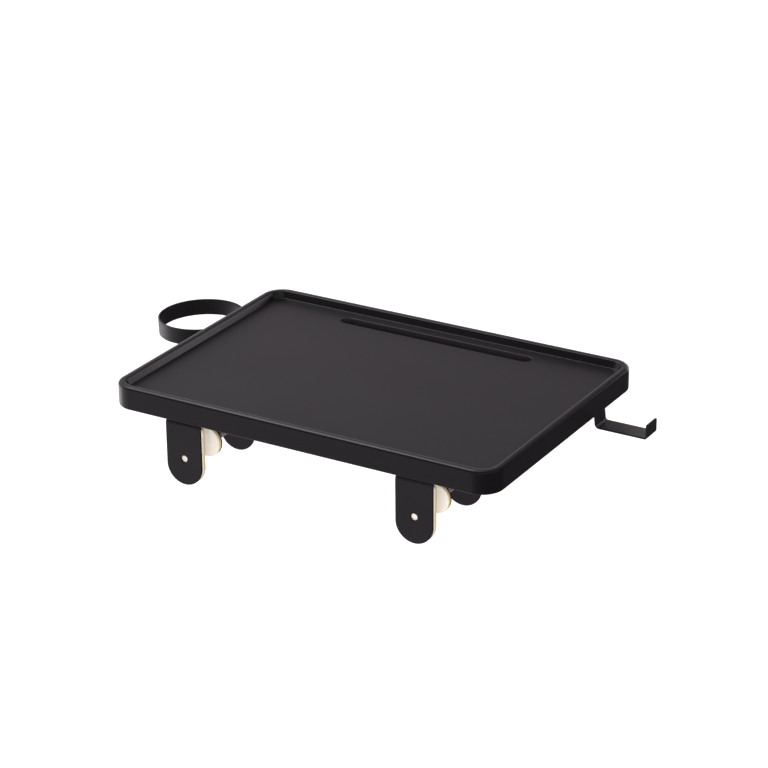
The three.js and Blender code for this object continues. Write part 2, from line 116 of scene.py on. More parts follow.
# Cup ring and hook
FITTING_THICKNESS = 1.5
FITTING_BEND_RADIUS = 2.4
FITTING_EDGE_ROUND = 0.3
FITTING_CORNER_RADIUS = 1.5
RING_WALL = 1.4
RING_HEIGHT = 14
RING_EDGE_ROUND = 0.4
RING_TILT = math.radians(2.1)
RING_WELD_GAP = 0.3
RING_TAB_LENGTH = 12
RING_BEAD_RADIUS = 0.8
RING_BEAD_LENGTH = 9
HOOK_LEAN = math.radians(6)
HOOK_LIP_BEND_RADIUS = 1
HOOK_LIP_HEIGHT = 12.4
HOOK_FLANGE_LENGTH = 36
# Countersunk wood screws with a cross recess
BRACKET_SCREWS = 4
FITTING_SCREWS = 2
WOOD_SCREW_RADIUS = 1.75
WOOD_SCREW_HEAD_RADIUS = 3.5
WOOD_SCREW_POINT = 3
WOOD_THREAD_DEPTH = 0.5
WOOD_THREAD_PITCH = 1.4
SEAT_CLEARANCE = 0.2
CROSS_ARM = 2.1
CROSS_WIDTH = 0.8
CROSS_DEPTH = 1.6
CROSS_TAPER = 0.45
# Profile of a thread over one pitch: share of the pitch, and share of the depth
THREAD_PROFILE = [(0, 1), (1 / 8, 1), (7 / 16, 0), (11 / 16, 0)]
# Ripple of a weld bead: share of its radius, and turn from one station to the next
BEAD_SWELL = 0.12
BEAD_RIPPLE = 2.1
# Fineness of the round shapes
CORNER_STEPS = 20
ROUND_STEPS = 6
EDGE_STEPS = 3
BEND_STEPS = 12
TIP_STEPS = 20
HOLE_STEPS = 48
DISC_STEPS = 96
RING_STEPS = 160
THREAD_STEPS = 36
FLUTE_STEPS = 14
BEAD_STEPS = 10
BEAD_STATIONS = 24
LEAST_RADIUS = 0.05
WELD_DISTANCE = 0.0005
SHARP_ANGLE = math.radians(50)
CUT_MARGIN = 0.5

# Finishes: noise as waves per metre, detail and roughness; tones as dark and light; roughness as low
# and high; bumps as strength and depth in metres
NOISE_SPREAD = (0.3, 0.7)
GRAIN_SPREAD = (0.3, 0.72)
GRAIN_NOISE = ((14, 520, 520), 5, 0.6)
LACQUER_CLOUD = ((9, 14, 14), 2, 0.5)
LACQUER_TONES = ((0.0036, 0.0027, 0.0036), (0.0052, 0.004, 0.0052))
# Painted light in the slot: paler lacquer that stands in for light reaching into it
SLOT_PAINTED_LIGHT_TONES = ((0.019, 0.017, 0.019), (0.024, 0.0215, 0.024))
LACQUER_ROUGHNESS = (0.28, 0.33)
LACQUER_BUMP = (0.12, 0.0001)
PEEL_NOISE = ((900, 900, 900), 2, 0.5)
STEEL_CLOUD = ((40, 40, 40), 2, 0.5)
STEEL_TONES = ((0.0072, 0.0058, 0.0072), (0.0092, 0.0076, 0.0092))
STEEL_ROUGHNESS = (0.36, 0.42)
STEEL_BUMP = (0.15, 0.00006)
MOTTLE_NOISE = ((260, 260, 260), 3, 0.5)
CREAM_TONES = ((0.79, 0.725, 0.635), (0.84, 0.775, 0.69))
# Painted shade on the pads' sides: buff, deepening to tan
SIDE_SHADE_TONES = ((0.68, 0.57, 0.4), (0.73, 0.62, 0.44))
DEEP_SIDE_SHADE_TONES = ((0.55, 0.43, 0.25), (0.6, 0.48, 0.29))
PAD_ROUGHNESS = (0.6, 0.75)
PAD_BUMP = (0.2, 0.0001)
PLATE_CLOUD = ((300, 300, 300), 3, 0.5)
PLATE_TONES = ((0.7, 0.7, 0.71), (0.8, 0.8, 0.81))
PLATE_ROUGHNESS = (0.2, 0.32)
PLATE_METALLIC = 0.85
SPARK_NOISE = ((1400, 1400, 1400), 3, 0.6)
PLASTIC_TONES = ((0.0085, 0.0082, 0.0086), (0.011, 0.0107, 0.0112))
PLASTIC_ROUGHNESS = (0.48, 0.6)
PLASTIC_BUMP = (0.3, 0.0001)
# Places of a mix node's colours among its sockets
FIRST_COLOUR = 6
SECOND_COLOUR = 7
MIXED_COLOUR = 2

# Camera and stage
FRAME_PIXELS = 768
FOCAL_PIXELS = 2703.5
SENSOR_WIDTH = 36
CAMERA_PLACE = (1.0043, -1.6735, 0.8448)
CAMERA_AZIMUTH = math.radians(30.76)
CAMERA_ELEVATION = math.radians(23.497)
CAMERA_ROLL = math.radians(-0.527)
FLOOR_HEIGHT = -0.62
FLOOR_SIZE = 30
FLOOR_SEGMENTS = 8
FLOOR_COLOUR = (0.8, 0.8, 0.8, 1)
FLOOR_ROUGHNESS = 0.9
FLOOR_GLOW = 0.55
WHITE = (1, 1, 1, 1)
AMBIENT_STRENGTH = 0.7
# Backdrop that shows in reflections: colours from the right to the left, and levels from the low back
# to a point above the front
BACKDROP_STOPS = [
    (0.0, (0.04, 0.036, 0.04)),
    (0.3, (0.07, 0.063, 0.07)),
    (0.55, (0.18, 0.163, 0.18)),
    (0.735, (0.46, 0.416, 0.46)),
    (0.95, (1.0, 0.93, 1.0)),
]
FRONT_ABOVE = (0, -0.7, 0.714)
FRONT_LEVELS = [(0.18, 1), (0.26, 1.6), (0.35, 0.48), (0.4, 0.54), (0.62, 1), (0.67, 0.9), (0.85, 0.22)]
# Soft lamps: place, width, height and power
OVERHEAD = ((-0.7, 0.15, 1.25), 1.2, 0.7, 9)
LOW_LEFT = ((-1.3, 0, -0.35), 0.7, 0.7, 1.4)
BEHIND = ((0.165, 0.38, 0.03), 0.26, 0.12, 0.22)
BEHIND_COLOUR = (1, 0.92, 1)
FRONT_RIGHT = ((0.72, -1.16, 0.5), 1.2, 0.8, 1.2)
RIGHT = ((1.35, -0.2, 0.55), 1.4, 0.8, 1.0)
FILL = ((0.85, -1.5, 0.4), 0.9, 0.9, 21)


# Shapes

def arc(centre_x, centre_y, radius, start, end, steps=ROUND_STEPS):
    """Points of an arc, its ends included."""
    angles = [start + (end - start) * step / steps for step in range(steps + 1)]
    return [(centre_x + radius * math.cos(a), centre_y + radius * math.sin(a)) for a in angles]


def add_rings(bm, rings):
    """Adds the skin between rings with the same count of points, open at both ends."""
    rows = [[bm.verts.new(point) for point in ring] for ring in rings]
    for low, high in zip(rows, rows[1:]):
        for j in range(len(low)):
            k = (j + 1) % len(low)
            bm.faces.new((low[j], low[k], high[k], high[j]))
    return rows


def add_capped(bm, rings):
    """Adds the skin between rings and a flat cap on each end."""
    rows = add_rings(bm, rings)
    bm.faces.new(reversed(rows[0]))
    bm.faces.new(rows[-1])


def add_lathe(bm, profile, steps, matrix):
    """Adds a profile of radii and heights turned about the matrix's Z axis."""
    turns = [2 * math.pi * step / steps for step in range(steps)]
    add_rings(bm, [[matrix @ Vector((r * math.cos(t), r * math.sin(t), h)) for t in turns]
                   for r, h in profile])


def weld(bm):
    """Joins points that coincide and turns every face outward."""
    bmesh.ops.remove_doubles(bm, verts=bm.verts, dist=WELD_DISTANCE)
    bmesh.ops.recalc_face_normals(bm, faces=bm.faces)


def bare_object(bm):
    weld(bm)
    mesh = bpy.data.meshes.new("bare")
    bm.to_mesh(mesh)
    bm.free()
    made = bpy.data.objects.new("bare", mesh)
    bpy.context.scene.collection.objects.link(made)
    return made


def carve(body_bm, tool_bm):
    """Cuts one closed shape out of another."""
    body = bare_object(body_bm)
    tool = bare_object(tool_bm)
    cut = body.modifiers.new("cut", "BOOLEAN")
    cut.operation = "DIFFERENCE"
    cut.solver = "EXACT"
    cut.object = tool
    evaluated = body.evaluated_get(bpy.context.evaluated_depsgraph_get())
    carved = bmesh.new()
    carved.from_mesh(evaluated.to_mesh())
    evaluated.to_mesh_clear()
    for used in (body, tool):
        mesh = used.data
        bpy.data.objects.remove(used)
        bpy.data.meshes.remove(mesh)
    return carved


def along_y(x, z):
    """Axis through a point of the XZ plane, for shapes turned about +Y."""
    return Matrix.Translation((x, 0, z)) @ Matrix.Rotation(-RIGHT_ANGLE, 4, "X")


def upright(x, y):
    return Matrix.Translation((x, y, 0))


def corners_of(node):
    """A node's lowest and highest corners in millimetres."""
    low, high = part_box(node)
    return low / MM, high / MM


def finish_mesh(name, bm):
    """Mesh in metres, smooth except along its sharp edges."""
    weld(bm)
    bm.transform(Matrix.Scale(MM, 4))
    for face in bm.faces:
        face.smooth = True
    for edge in bm.edges:
        edge.smooth = edge.calc_face_angle(0) < SHARP_ANGLE
    mesh = bpy.data.meshes.new(name)
    bm.to_mesh(mesh)
    bm.free()
    return mesh


def add_piece(name, mesh, finish, body, *nodes, place=None):
    """Shows a mesh as a piece of a body, in the place of the nodes that it stands for."""
    slot, material = finish
    if not mesh.materials:
        mesh.materials.append(material)
    piece = bpy.data.objects.new(name, mesh)
    bpy.context.scene.collection.objects.link(piece)
    shading = piece.modifiers.new("even_shading", "WEIGHTED_NORMAL")
    shading.keep_sharp = True
    if place:
        piece.location = Vector(place) * MM
    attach(piece, body)
    if nodes:
        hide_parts(*nodes)
    return piece


# Bent strips

def left_of(direction):
    return Vector((-direction.y, direction.x))


def turned(direction, angle):
    return Matrix.Rotation(angle, 2) @ direction


def strip_stations(corners, radii, thickness, half_width, tip_radii, inset):
    """Places along a strip's middle line, each with its direction and half width, drawn in by an inset."""
    runs = [(b - a).normalized() for a, b in zip(corners, corners[1:])]
    half = half_width - inset
    stations = []

    def add_tip(corner, inward, direction, radius, steps):
        rounding = max(radius - inset, LEAST_RADIUS)
        for step in steps:
            angle = RIGHT_ANGLE * step / TIP_STEPS
            along = inset + rounding * (1 - math.cos(angle))
            stations.append((corner + inward * along, direction, half - rounding * (1 - math.sin(angle))))

    add_tip(corners[0], runs[0], runs[0], tip_radii[0], range(TIP_STEPS + 1))
    for corner, before, after, inside in zip(corners[1:], runs, runs[1:], radii):
        radius = inside + thickness / 2
        turn = math.atan2(before.x * after.y - before.y * after.x, before.dot(after))
        side = math.copysign(radius, turn)
        start = corner - before * radius * math.tan(abs(turn) / 2)
        centre = start + left_of(before) * side
        for step in range(BEND_STEPS + 1):
            direction = turned(before, turn * step / BEND_STEPS)
            stations.append((centre - left_of(direction) * side, direction, half))
    add_tip(corners[-1], -runs[-1], runs[-1], tip_radii[1], range(TIP_STEPS, -1, -1))
    return stations


def strip_layers(thickness, edge_round):
    """Insets and heights over a strip's rounded edge, from its lower face to its upper face."""
    flat = thickness / 2 - edge_round
    lower = arc(0, -flat, edge_round, -RIGHT_ANGLE, 0, EDGE_STEPS)
    upper = arc(0, flat, edge_round, 0, RIGHT_ANGLE, EDGE_STEPS)
    return [(edge_round - x, y) for x, y in lower + upper]


def strip(corners, radii, thickness, width, tip_radii, edge_round, place):
    """Flat strip bent along a line of corner points, with rounded ends and edges.

    The place function carries a point of the line's plane and a distance across it into the frame."""
    bm = bmesh.new()
    layers = []
    for inset, height in strip_layers(thickness, edge_round):
        stations = strip_stations(corners, radii, thickness, width / 2, tip_radii, inset)
        layers.append([
            [bm.verts.new(place(point + left_of(direction) * height, side * half)) for side in (-1, 1)]
            for point, direction, half in stations
        ])
    for low, high in zip(layers, layers[1:]):
        for side in (0, 1):
            for j in range(len(low) - 1):
                bm.faces.new((low[j][side], low[j + 1][side], high[j + 1][side], high[j][side]))
        for end in (0, -1):
            bm.faces.new((low[end][0], low[end][1], high[end][1], high[end][0]))
    for layer in (layers[0], layers[-1]):
        for (a, b), (c, d) in zip(layer, layer[1:]):
            bm.faces.new((a, b, d, c))
    return bm


def hole_profile(radius, low, high, chamfer):
    """Closed profile of a hole's cutter through a strip, flared at both faces for its chamfers."""
    flare = radius + chamfer + CUT_MARGIN
    return [
        (0, low - CUT_MARGIN),
        (flare, low - CUT_MARGIN),
        (radius, low + chamfer),
        (radius, high - chamfer),
        (flare, high + CUT_MARGIN),
        (0, high + CUT_MARGIN),
    ]


def countersink_profile(head_z, top_z):
    """Cutter for a screw's seat in a strip, wide at its lower face."""
    head = WOOD_SCREW_HEAD_RADIUS + SEAT_CLEARANCE
    shank = WOOD_SCREW_RADIUS + SEAT_CLEARANCE
    return [
        (0, head_z - CUT_MARGIN),
        (head + CUT_MARGIN, head_z - CUT_MARGIN),
        (shank, head_z + head - shank),
        (shank, top_z + CUT_MARGIN),
        (0, top_z + CUT_MARGIN),
    ]


# Threads

def add_thread(bm, radius, depth, pitch, start, end, matrix):
    """Adds a screw thread about the matrix's Z axis that fades into its core at both ends."""
    core = radius - depth
    turns = math.ceil((end - start) / pitch) + 1
    columns = []
    for step in range(THREAD_STEPS):
        share = step / THREAD_STEPS
        angle = 2 * math.pi * share
        column = []
        for turn in range(turns + 1):
            for offset, crest in THREAD_PROFILE:
                height = min(max(start + (turn - 1 + offset + share) * pitch, start), end)
                fade = min(height - start, end - height, pitch) / pitch
                size = core + depth * crest * fade
                point = Vector((size * math.cos(angle), size * math.sin(angle), height))
                column.append(bm.verts.new(matrix @ point))
        columns.append(column)
    lead = len(THREAD_PROFILE)
    for step, column in enumerate(columns):
        last = step == THREAD_STEPS - 1
        beside = columns[0][lead:] if last else columns[step + 1]
        for (a, b), (d, c) in zip(zip(column, column[1:]), zip(beside, beside[1:])):
            bm.faces.new((a, b, c, d))


# Finishes

def new_material(name):
    material = bpy.data.materials.new(name)
    material.use_nodes = True
    tree = material.node_tree
    return material, tree, tree.nodes["Principled BSDF"]


def add_node(tree, kind, inputs=None, **settings):
    """Adds a node with its settings, its plain values and its links."""
    made = tree.nodes.new(kind)
    for name, value in settings.items():
        setattr(made, name, value)
    for socket, value in (inputs or {}).items():
        if isinstance(value, bpy.types.NodeSocket):
            tree.links.new(value, made.inputs[socket])
        else:
            made.inputs[socket].default_value = value
    return made


def add_noise(tree, waves, detail, roughness):
    """Noise in the object's own coordinates, with a count of waves per metre along each axis."""
    place = add_node(tree, "ShaderNodeTexCoord").outputs["Object"]
    mapping = add_node(tree, "ShaderNodeMapping", {"Vector": place, "Scale": waves})
    noise = add_node(tree, "ShaderNodeTexNoise", {
        "Vector": mapping.outputs["Vector"],
        "Scale": 1.0,
        "Detail": detail,
        "Roughness": roughness,
    })
    return noise.outputs["Fac"]


def add_ramp(tree, factor, stops):
    """Colour over a factor, from stops of position and colour."""
    ramp = add_node(tree, "ShaderNodeValToRGB", {"Fac": factor})
    elements = ramp.color_ramp.elements
    while len(elements) < len(stops):
        elements.new(0.5)
    for element, (position, colour) in zip(elements, stops):
        element.position = position
        element.color = (*colour, 1)
    return ramp.outputs["Color"]


def add_tones(tree, factor, tones, spread=NOISE_SPREAD):
    """Colour between a dark and a light tone over a noise's middle values."""
    return add_ramp(tree, factor, list(zip(spread, tones)))


def add_range(tree, factor, low, high):
    """Spreads a noise's middle values between two limits."""
    spread = add_node(tree, "ShaderNodeMapRange", {
        "Value": factor,
        "From Min": NOISE_SPREAD[0],
        "From Max": NOISE_SPREAD[1],
        "To Min": low,
        "To Max": high,
    })
    return spread.outputs["Result"]


def add_blend(tree, factor, first, second):
    """Colour between two colours."""
    inputs = {"Factor": factor, FIRST_COLOUR: first, SECOND_COLOUR: second}
    return add_node(tree, "ShaderNodeMix", inputs, data_type="RGBA").outputs[MIXED_COLOUR]


def add_bump(tree, height, strength, distance):
    bump = add_node(tree, "ShaderNodeBump", {
        "Height": height, "Strength": strength, "Distance": distance,
    })
    return bump.outputs["Normal"]


def lacquer_finish():
    """Satin black lacquer with the board's grain just showing along its length; painted light in the slot.
    """
    material, tree, shader = new_material("tray_lacquer")
    grain = add_noise(tree, *GRAIN_NOISE)
    cloud = add_noise(tree, *LACQUER_CLOUD)
    full = add_tones(tree, grain, LACQUER_TONES, GRAIN_SPREAD)
    # Painted light: the slot's lacquer is paler, standing in for light that reaches into the slot
    slot_light_tone = add_tones(tree, grain, SLOT_PAINTED_LIGHT_TONES, GRAIN_SPREAD)
    slot_painted_light = add_node(tree, "ShaderNodeAttribute", attribute_name="slot_painted_light").outputs["Fac"]
    tree.links.new(add_blend(tree, slot_painted_light, full, slot_light_tone), shader.inputs["Base Color"])
    tree.links.new(add_range(tree, cloud, *LACQUER_ROUGHNESS), shader.inputs["Roughness"])
    tree.links.new(add_bump(tree, grain, *LACQUER_BUMP), shader.inputs["Normal"])
    return material


def steel_finish():
    """Satin powder coat with a fine orange peel."""
    material, tree, shader = new_material("black_steel")
    peel = add_noise(tree, *PEEL_NOISE)
    cloud = add_noise(tree, *STEEL_CLOUD)
    tree.links.new(add_tones(tree, cloud, STEEL_TONES), shader.inputs["Base Color"])
    tree.links.new(add_range(tree, cloud, *STEEL_ROUGHNESS), shader.inputs["Roughness"])
    tree.links.new(add_bump(tree, peel, *STEEL_BUMP), shader.inputs["Normal"])
    return material


def pad_finish(name, side_shade_start_y, side_shade_end_y):
    """Cream pad whose sides carry painted shade, from buff to tan between two depths."""
    material, tree, shader = new_material(name)
    mottle = add_noise(tree, *MOTTLE_NOISE)
    place = add_node(tree, "ShaderNodeTexCoord")
    depth = add_node(tree, "ShaderNodeSeparateXYZ", {"Vector": place.outputs["Object"]}).outputs["Y"]
    # Painted shade: faces that look along Y keep the cream, and the sides, found by their normals, turn
    # buff and then tan
    facing = add_node(tree, "ShaderNodeSeparateXYZ", {"Vector": place.outputs["Normal"]}).outputs["Y"]
    side_shade_depth = add_node(tree, "ShaderNodeMapRange", {
        "Value": depth, "From Min": side_shade_start_y * MM, "From Max": side_shade_end_y * MM,
    }, interpolation_type="SMOOTHSTEP")
    face = add_node(tree, "ShaderNodeMath", {0: facing, 1: facing}, operation="MULTIPLY")
    side_shade = add_tones(tree, mottle, SIDE_SHADE_TONES)
    tan = add_tones(tree, mottle, DEEP_SIDE_SHADE_TONES)
    side = add_blend(tree, side_shade_depth.outputs["Result"], side_shade, tan)
    colour = add_blend(tree, face.outputs[0], side, add_tones(tree, mottle, CREAM_TONES))
    tree.links.new(colour, shader.inputs["Base Color"])
    tree.links.new(add_range(tree, mottle, *PAD_ROUGHNESS), shader.inputs["Roughness"])
    tree.links.new(add_bump(tree, mottle, *PAD_BUMP), shader.inputs["Normal"])
    return material


def plated_finish():
    """Bright zinc plate with faint cloudiness."""
    material, tree, shader = new_material("plated_steel")
    cloud = add_noise(tree, *PLATE_CLOUD)
    tree.links.new(add_tones(tree, cloud, PLATE_TONES), shader.inputs["Base Color"])
    tree.links.new(add_range(tree, cloud, *PLATE_ROUGHNESS), shader.inputs["Roughness"])
    shader.inputs["Metallic"].default_value = PLATE_METALLIC
    return material


def plastic_finish():
    """Black moulded plastic with a fine spark grain."""
    material, tree, shader = new_material("black_plastic")
    spark = add_noise(tree, *SPARK_NOISE)
    tree.links.new(add_tones(tree, spark, PLASTIC_TONES), shader.inputs["Base Color"])
    tree.links.new(add_range(tree, spark, *PLASTIC_ROUGHNESS), shader.inputs["Roughness"])
    tree.links.new(add_bump(tree, spark, *PLASTIC_BUMP), shader.inputs["Normal"])
    return material


LACQUER = ("tray_lacquer", lacquer_finish())
STEEL = ("black_steel", steel_finish())
PLATED = ("plated_steel", plated_finish())
PLASTIC = ("black_plastic", plastic_finish())


# Wood screws, drawn with the middle of the head's face at the origin and the point up

pilot_bores = []


def wood_screw_mesh(length):
    bm = bmesh.new()
    core = WOOD_SCREW_RADIUS - WOOD_THREAD_DEPTH
    cone_top = WOOD_SCREW_HEAD_RADIUS - WOOD_SCREW_RADIUS
    thread_start = cone_top + WOOD_THREAD_PITCH
    thread_end = length - WOOD_SCREW_POINT
    flat = Matrix.Identity(4)
    add_lathe(bm, [
        (0, 0),
        (WOOD_SCREW_HEAD_RADIUS, 0),
        (WOOD_SCREW_RADIUS, cone_top),
        (core, thread_start),
    ], THREAD_STEPS, flat)
    add_thread(bm, WOOD_SCREW_RADIUS, WOOD_THREAD_DEPTH, WOOD_THREAD_PITCH, thread_start, thread_end, flat)
    add_lathe(bm, [(core, thread_end), (0, length)], THREAD_STEPS, flat)
    arm, half = CROSS_ARM, CROSS_WIDTH / 2
    quadrant = [(arm, -half), (arm, half), (half, half)]
    cross = [turned(Vector(point), RIGHT_ANGLE * i) for i in range(4) for point in quadrant]
    recess = bmesh.new()
    mouth = 1 + CROSS_TAPER * CUT_MARGIN / CROSS_DEPTH
    add_capped(recess, [
        [Vector((p.x * mouth, p.y * mouth, -CUT_MARGIN)) for p in cross],
        [Vector((p.x * (1 - CROSS_TAPER), p.y * (1 - CROSS_TAPER), CROSS_DEPTH)) for p in cross],
    ])
    return finish_mesh("wood_screw", carve(bm, recess))


def add_wood_screws(stem, count):
    """Shows a strip's screws and returns the places of their heads' faces."""
    nodes = [f"{stem}_screw_{i + 1}" for i in range(count)]
    low, high = corners_of(nodes[0])
    length = high.z - low.z
    mesh = wood_screw_mesh(length)
    heads = []
    for node in nodes:
        low, high = corners_of(node)
        head = Vector(((low.x + high.x) / 2, (low.y + high.y) / 2, low.z))
        add_piece(f"{node}_driven", mesh, PLATED, "tray", node, place=head)
        heads.append(head)
        pilot_bores.append((head, length))
    return heads


# Clamps

def bracket_bm(low, high, screw_height, heads):
    x = (low.x + high.x) / 2
    half = STRIP_THICKNESS / 2
    front, rear, top = low.y + half, high.y - half, high.z - half
    width = high.x - low.x
    corners = [Vector(p) for p in ((front, low.z), (front, top), (rear, top), (rear, low.z))]
    body = strip(
        corners, [STRIP_BEND_RADIUS] * 2, STRIP_THICKNESS, width, [width / 2] * 2, STRIP_EDGE_ROUND,
        lambda point, across: Vector((x + across, point.x, point.y)),
    )
    holes = bmesh.new()
    front_hole = hole_profile(LEG_HOLE_RADIUS, low.y, low.y + STRIP_THICKNESS, LEG_HOLE_CHAMFER)
    rear_hole = hole_profile(NUT_BORE_RADIUS, high.y - STRIP_THICKNESS, high.y, HOLE_CHAMFER)
    add_lathe(holes, front_hole, HOLE_STEPS, along_y(x, LEG_HOLE_HEIGHT))
    add_lathe(holes, rear_hole, HOLE_STEPS, along_y(x, screw_height))
    for head in heads:
        add_lathe(holes, countersink_profile(head.z, high.z), HOLE_STEPS, upright(head.x, head.y))
    return carve(body, holes)


def fixed_pad_bm(low, high):
    """Pad with the leg's outline, rounded all along its edges."""
    x = (low.x + high.x) / 2
    width = high.x - low.x
    middle = (low.y + high.y) / 2
    return strip(
        [Vector((middle, low.z)), Vector((middle, high.z))], [], high.y - low.y, width,
        [width / 2, FIXED_PAD_TOP_RADIUS], FIXED_PAD_EDGE_ROUND,
        lambda point, across: Vector((x + across, point.x, point.y)),
    )


def pressure_pad_bm(low, high, axis):
    """Disc with a soft front edge and a slightly crowned face."""
    radius = (high.z - low.z) / 2
    soft = PRESSURE_PAD_EDGE_ROUND
    edge = PLATE_EDGE_ROUND
    face_edge = radius - soft
    shoulder = low.y + PRESSURE_PAD_CROWN
    bm = bmesh.new()
    add_lathe(bm, [
        (0, low.y),
        (face_edge * CROWN_STATION, low.y + PRESSURE_PAD_CROWN * CROWN_STATION ** 2),
        *arc(face_edge, shoulder + soft, soft, -RIGHT_ANGLE, 0),
        *arc(radius - edge, high.y - edge, edge, 0, RIGHT_ANGLE, EDGE_STEPS),
        (0, high.y),
    ], DISC_STEPS, axis)
    return bm


def pressure_disc_bm(low, high, axis):
    """Plate with a cup whose lip holds the screw's swivel tip."""
    radius = (high.z - low.z) / 2
    edge = PLATE_EDGE_ROUND
    plate_back = low.y + PLATE_THICKNESS
    lip = high.y - CUP_LIP
    bm = bmesh.new()
    add_lathe(bm, [
        (0, low.y),
        *arc(radius - edge, low.y + edge, edge, -RIGHT_ANGLE, 0, EDGE_STEPS),
        *arc(radius - edge, plate_back - edge, edge, 0, RIGHT_ANGLE, EDGE_STEPS),
        *arc(CUP_RADIUS + edge, plate_back + edge, edge, -RIGHT_ANGLE, -2 * RIGHT_ANGLE, EDGE_STEPS),
        *arc(CUP_RADIUS - CUP_EDGE_ROUND, high.y - CUP_EDGE_ROUND, CUP_EDGE_ROUND, 0, RIGHT_ANGLE),
        (CUP_MOUTH_RADIUS + edge, high.y),
        (CUP_MOUTH_RADIUS, high.y - edge),
        (CUP_MOUTH_RADIUS, lip),
        (CUP_CAVITY_RADIUS, lip),
        (CUP_CAVITY_RADIUS, plate_back),
        (0, plate_back),
    ], DISC_STEPS, axis)
    return bm


def clamp_screw_bm(low, high, axis):
    """Threaded rod with a necked swivel tip."""
    neck_start = low.y + SWIVEL_TIP_LENGTH
    shoulder = low.y + SWIVEL_NECK_LENGTH
    core = SCREW_RADIUS - THREAD_DEPTH
    bm = bmesh.new()
    add_lathe(bm, [
        (0, low.y),
        (SWIVEL_RADIUS - SWIVEL_CHAMFER, low.y),
        (SWIVEL_RADIUS, low.y + SWIVEL_CHAMFER),
        (SWIVEL_RADIUS, neck_start),
        (SWIVEL_NECK_RADIUS, neck_start),
        (SWIVEL_NECK_RADIUS, shoulder),
        (core, shoulder),
    ], THREAD_STEPS, axis)
    add_thread(bm, SCREW_RADIUS, THREAD_DEPTH, THREAD_PITCH, shoulder, high.y, axis)
    add_lathe(bm, [(core, high.y), (0, high.y)], THREAD_STEPS, axis)
    return bm


def nut_bm(low, high, axis):
    """Hexagon nut, chamfered at its back, with its bore's edges broken."""
    corner = NUT_FLATS / math.sqrt(3)
    flat_turn = math.pi / 3
    turns = [2 * math.pi * step / DISC_STEPS for step in range(DISC_STEPS)]

    def ring(limit, y):
        points = []
        for turn in turns:
            from_flat = (turn + flat_turn / 2) % flat_turn - flat_turn / 2
            size = min(limit, NUT_FLATS / 2 / math.cos(from_flat))
            points.append(axis @ Vector((size * math.cos(turn), size * math.sin(turn), y)))
        return points

    outer = [ring(corner, low.y)]
    for step in range(ROUND_STEPS + 1):
        share = step / ROUND_STEPS
        outer.append(ring(corner - NUT_CHAMFER * share, high.y - NUT_CHAMFER_RISE * (1 - share)))
    inner = [
        ring(NUT_BORE_RADIUS + NUT_BORE_CHAMFER, high.y),
        ring(NUT_BORE_RADIUS, high.y - NUT_BORE_CHAMFER),
        ring(NUT_BORE_RADIUS, low.y),
    ]
    bm = bmesh.new()
    add_rings(bm, outer + inner + outer[:1])
    return bm


def bead_bm(route, radius, closed):
    """Weld bead along a route of points, swelling with each pass of the torch."""
    bm = bmesh.new()
    rings = []
    count = len(route)
    for i, point in enumerate(route):
        ahead = route[(i + 1) % count] if closed else route[min(i + 1, count - 1)]
        behind = route[i - 1] if closed else route[max(i - 1, 0)]
        heading = (ahead - behind).to_track_quat("Z", "Y")
        swell = radius * (1 + BEAD_SWELL * math.sin(i * BEAD_RIPPLE))
        rings.append([
            point + heading @ Vector((swell * math.cos(a), swell * math.sin(a), 0))
            for a in (2 * math.pi * step / BEAD_STEPS for step in range(BEAD_STEPS))
        ])
    if closed:
        add_rings(bm, rings + rings[:1])
    else:
        add_capped(bm, rings)
    return bm


def knob_bm(low, high, axis):
    """Fluted grip on a round hub, bored for the screw and dished at its back."""
    radius = (high.z - low.z) / 2
    grip = low.y + KNOB_HUB_LENGTH
    inner = radius - KNOB_EDGE_ROUND
    fillet = KNOB_HUB_FILLET
    edge = HOLE_CHAMFER
    dish = high.y - KNOB_DISH_DEPTH
    bore_end = low.y + KNOB_BORE_DEPTH
    profile = [
        (0, bore_end),
        (KNOB_BORE_RADIUS, bore_end),
        (KNOB_BORE_RADIUS, low.y + edge),
        (KNOB_BORE_RADIUS + edge, low.y),
        *arc(KNOB_HUB_RADIUS - fillet, low.y + fillet, fillet, -RIGHT_ANGLE, 0),
        *arc(KNOB_HUB_RADIUS + fillet, grip - fillet, fillet, 2 * RIGHT_ANGLE, RIGHT_ANGLE),
        *arc(inner, grip + KNOB_EDGE_ROUND, KNOB_EDGE_ROUND, -RIGHT_ANGLE, 0),
        *arc(inner, high.y - KNOB_EDGE_ROUND, KNOB_EDGE_ROUND, 0, RIGHT_ANGLE),
        (KNOB_DISH_RADIUS, high.y),
        (KNOB_DISH_RADIUS - KNOB_DISH_DEPTH, dish),
        (0, dish + KNOB_DISH_DEPTH / 2),
    ]
    count = KNOB_FLUTES * FLUTE_STEPS
    flute_share = KNOB_FLUTE_DEPTH / (radius - KNOB_HUB_RADIUS)
    rings = []
    for size, y in profile:
        depth = max(size - KNOB_HUB_RADIUS, 0) * flute_share if y >= grip else 0
        ring = []
        for step in range(count):
            turn = 2 * math.pi * step / count
            reach = size - depth * (1 - math.sin(KNOB_FLUTES * turn)) / 2
            ring.append(axis @ Vector((reach * math.cos(turn), reach * math.sin(turn), y)))
        rings.append(ring)
    bm = bmesh.new()
    add_rings(bm, rings)
    return bm


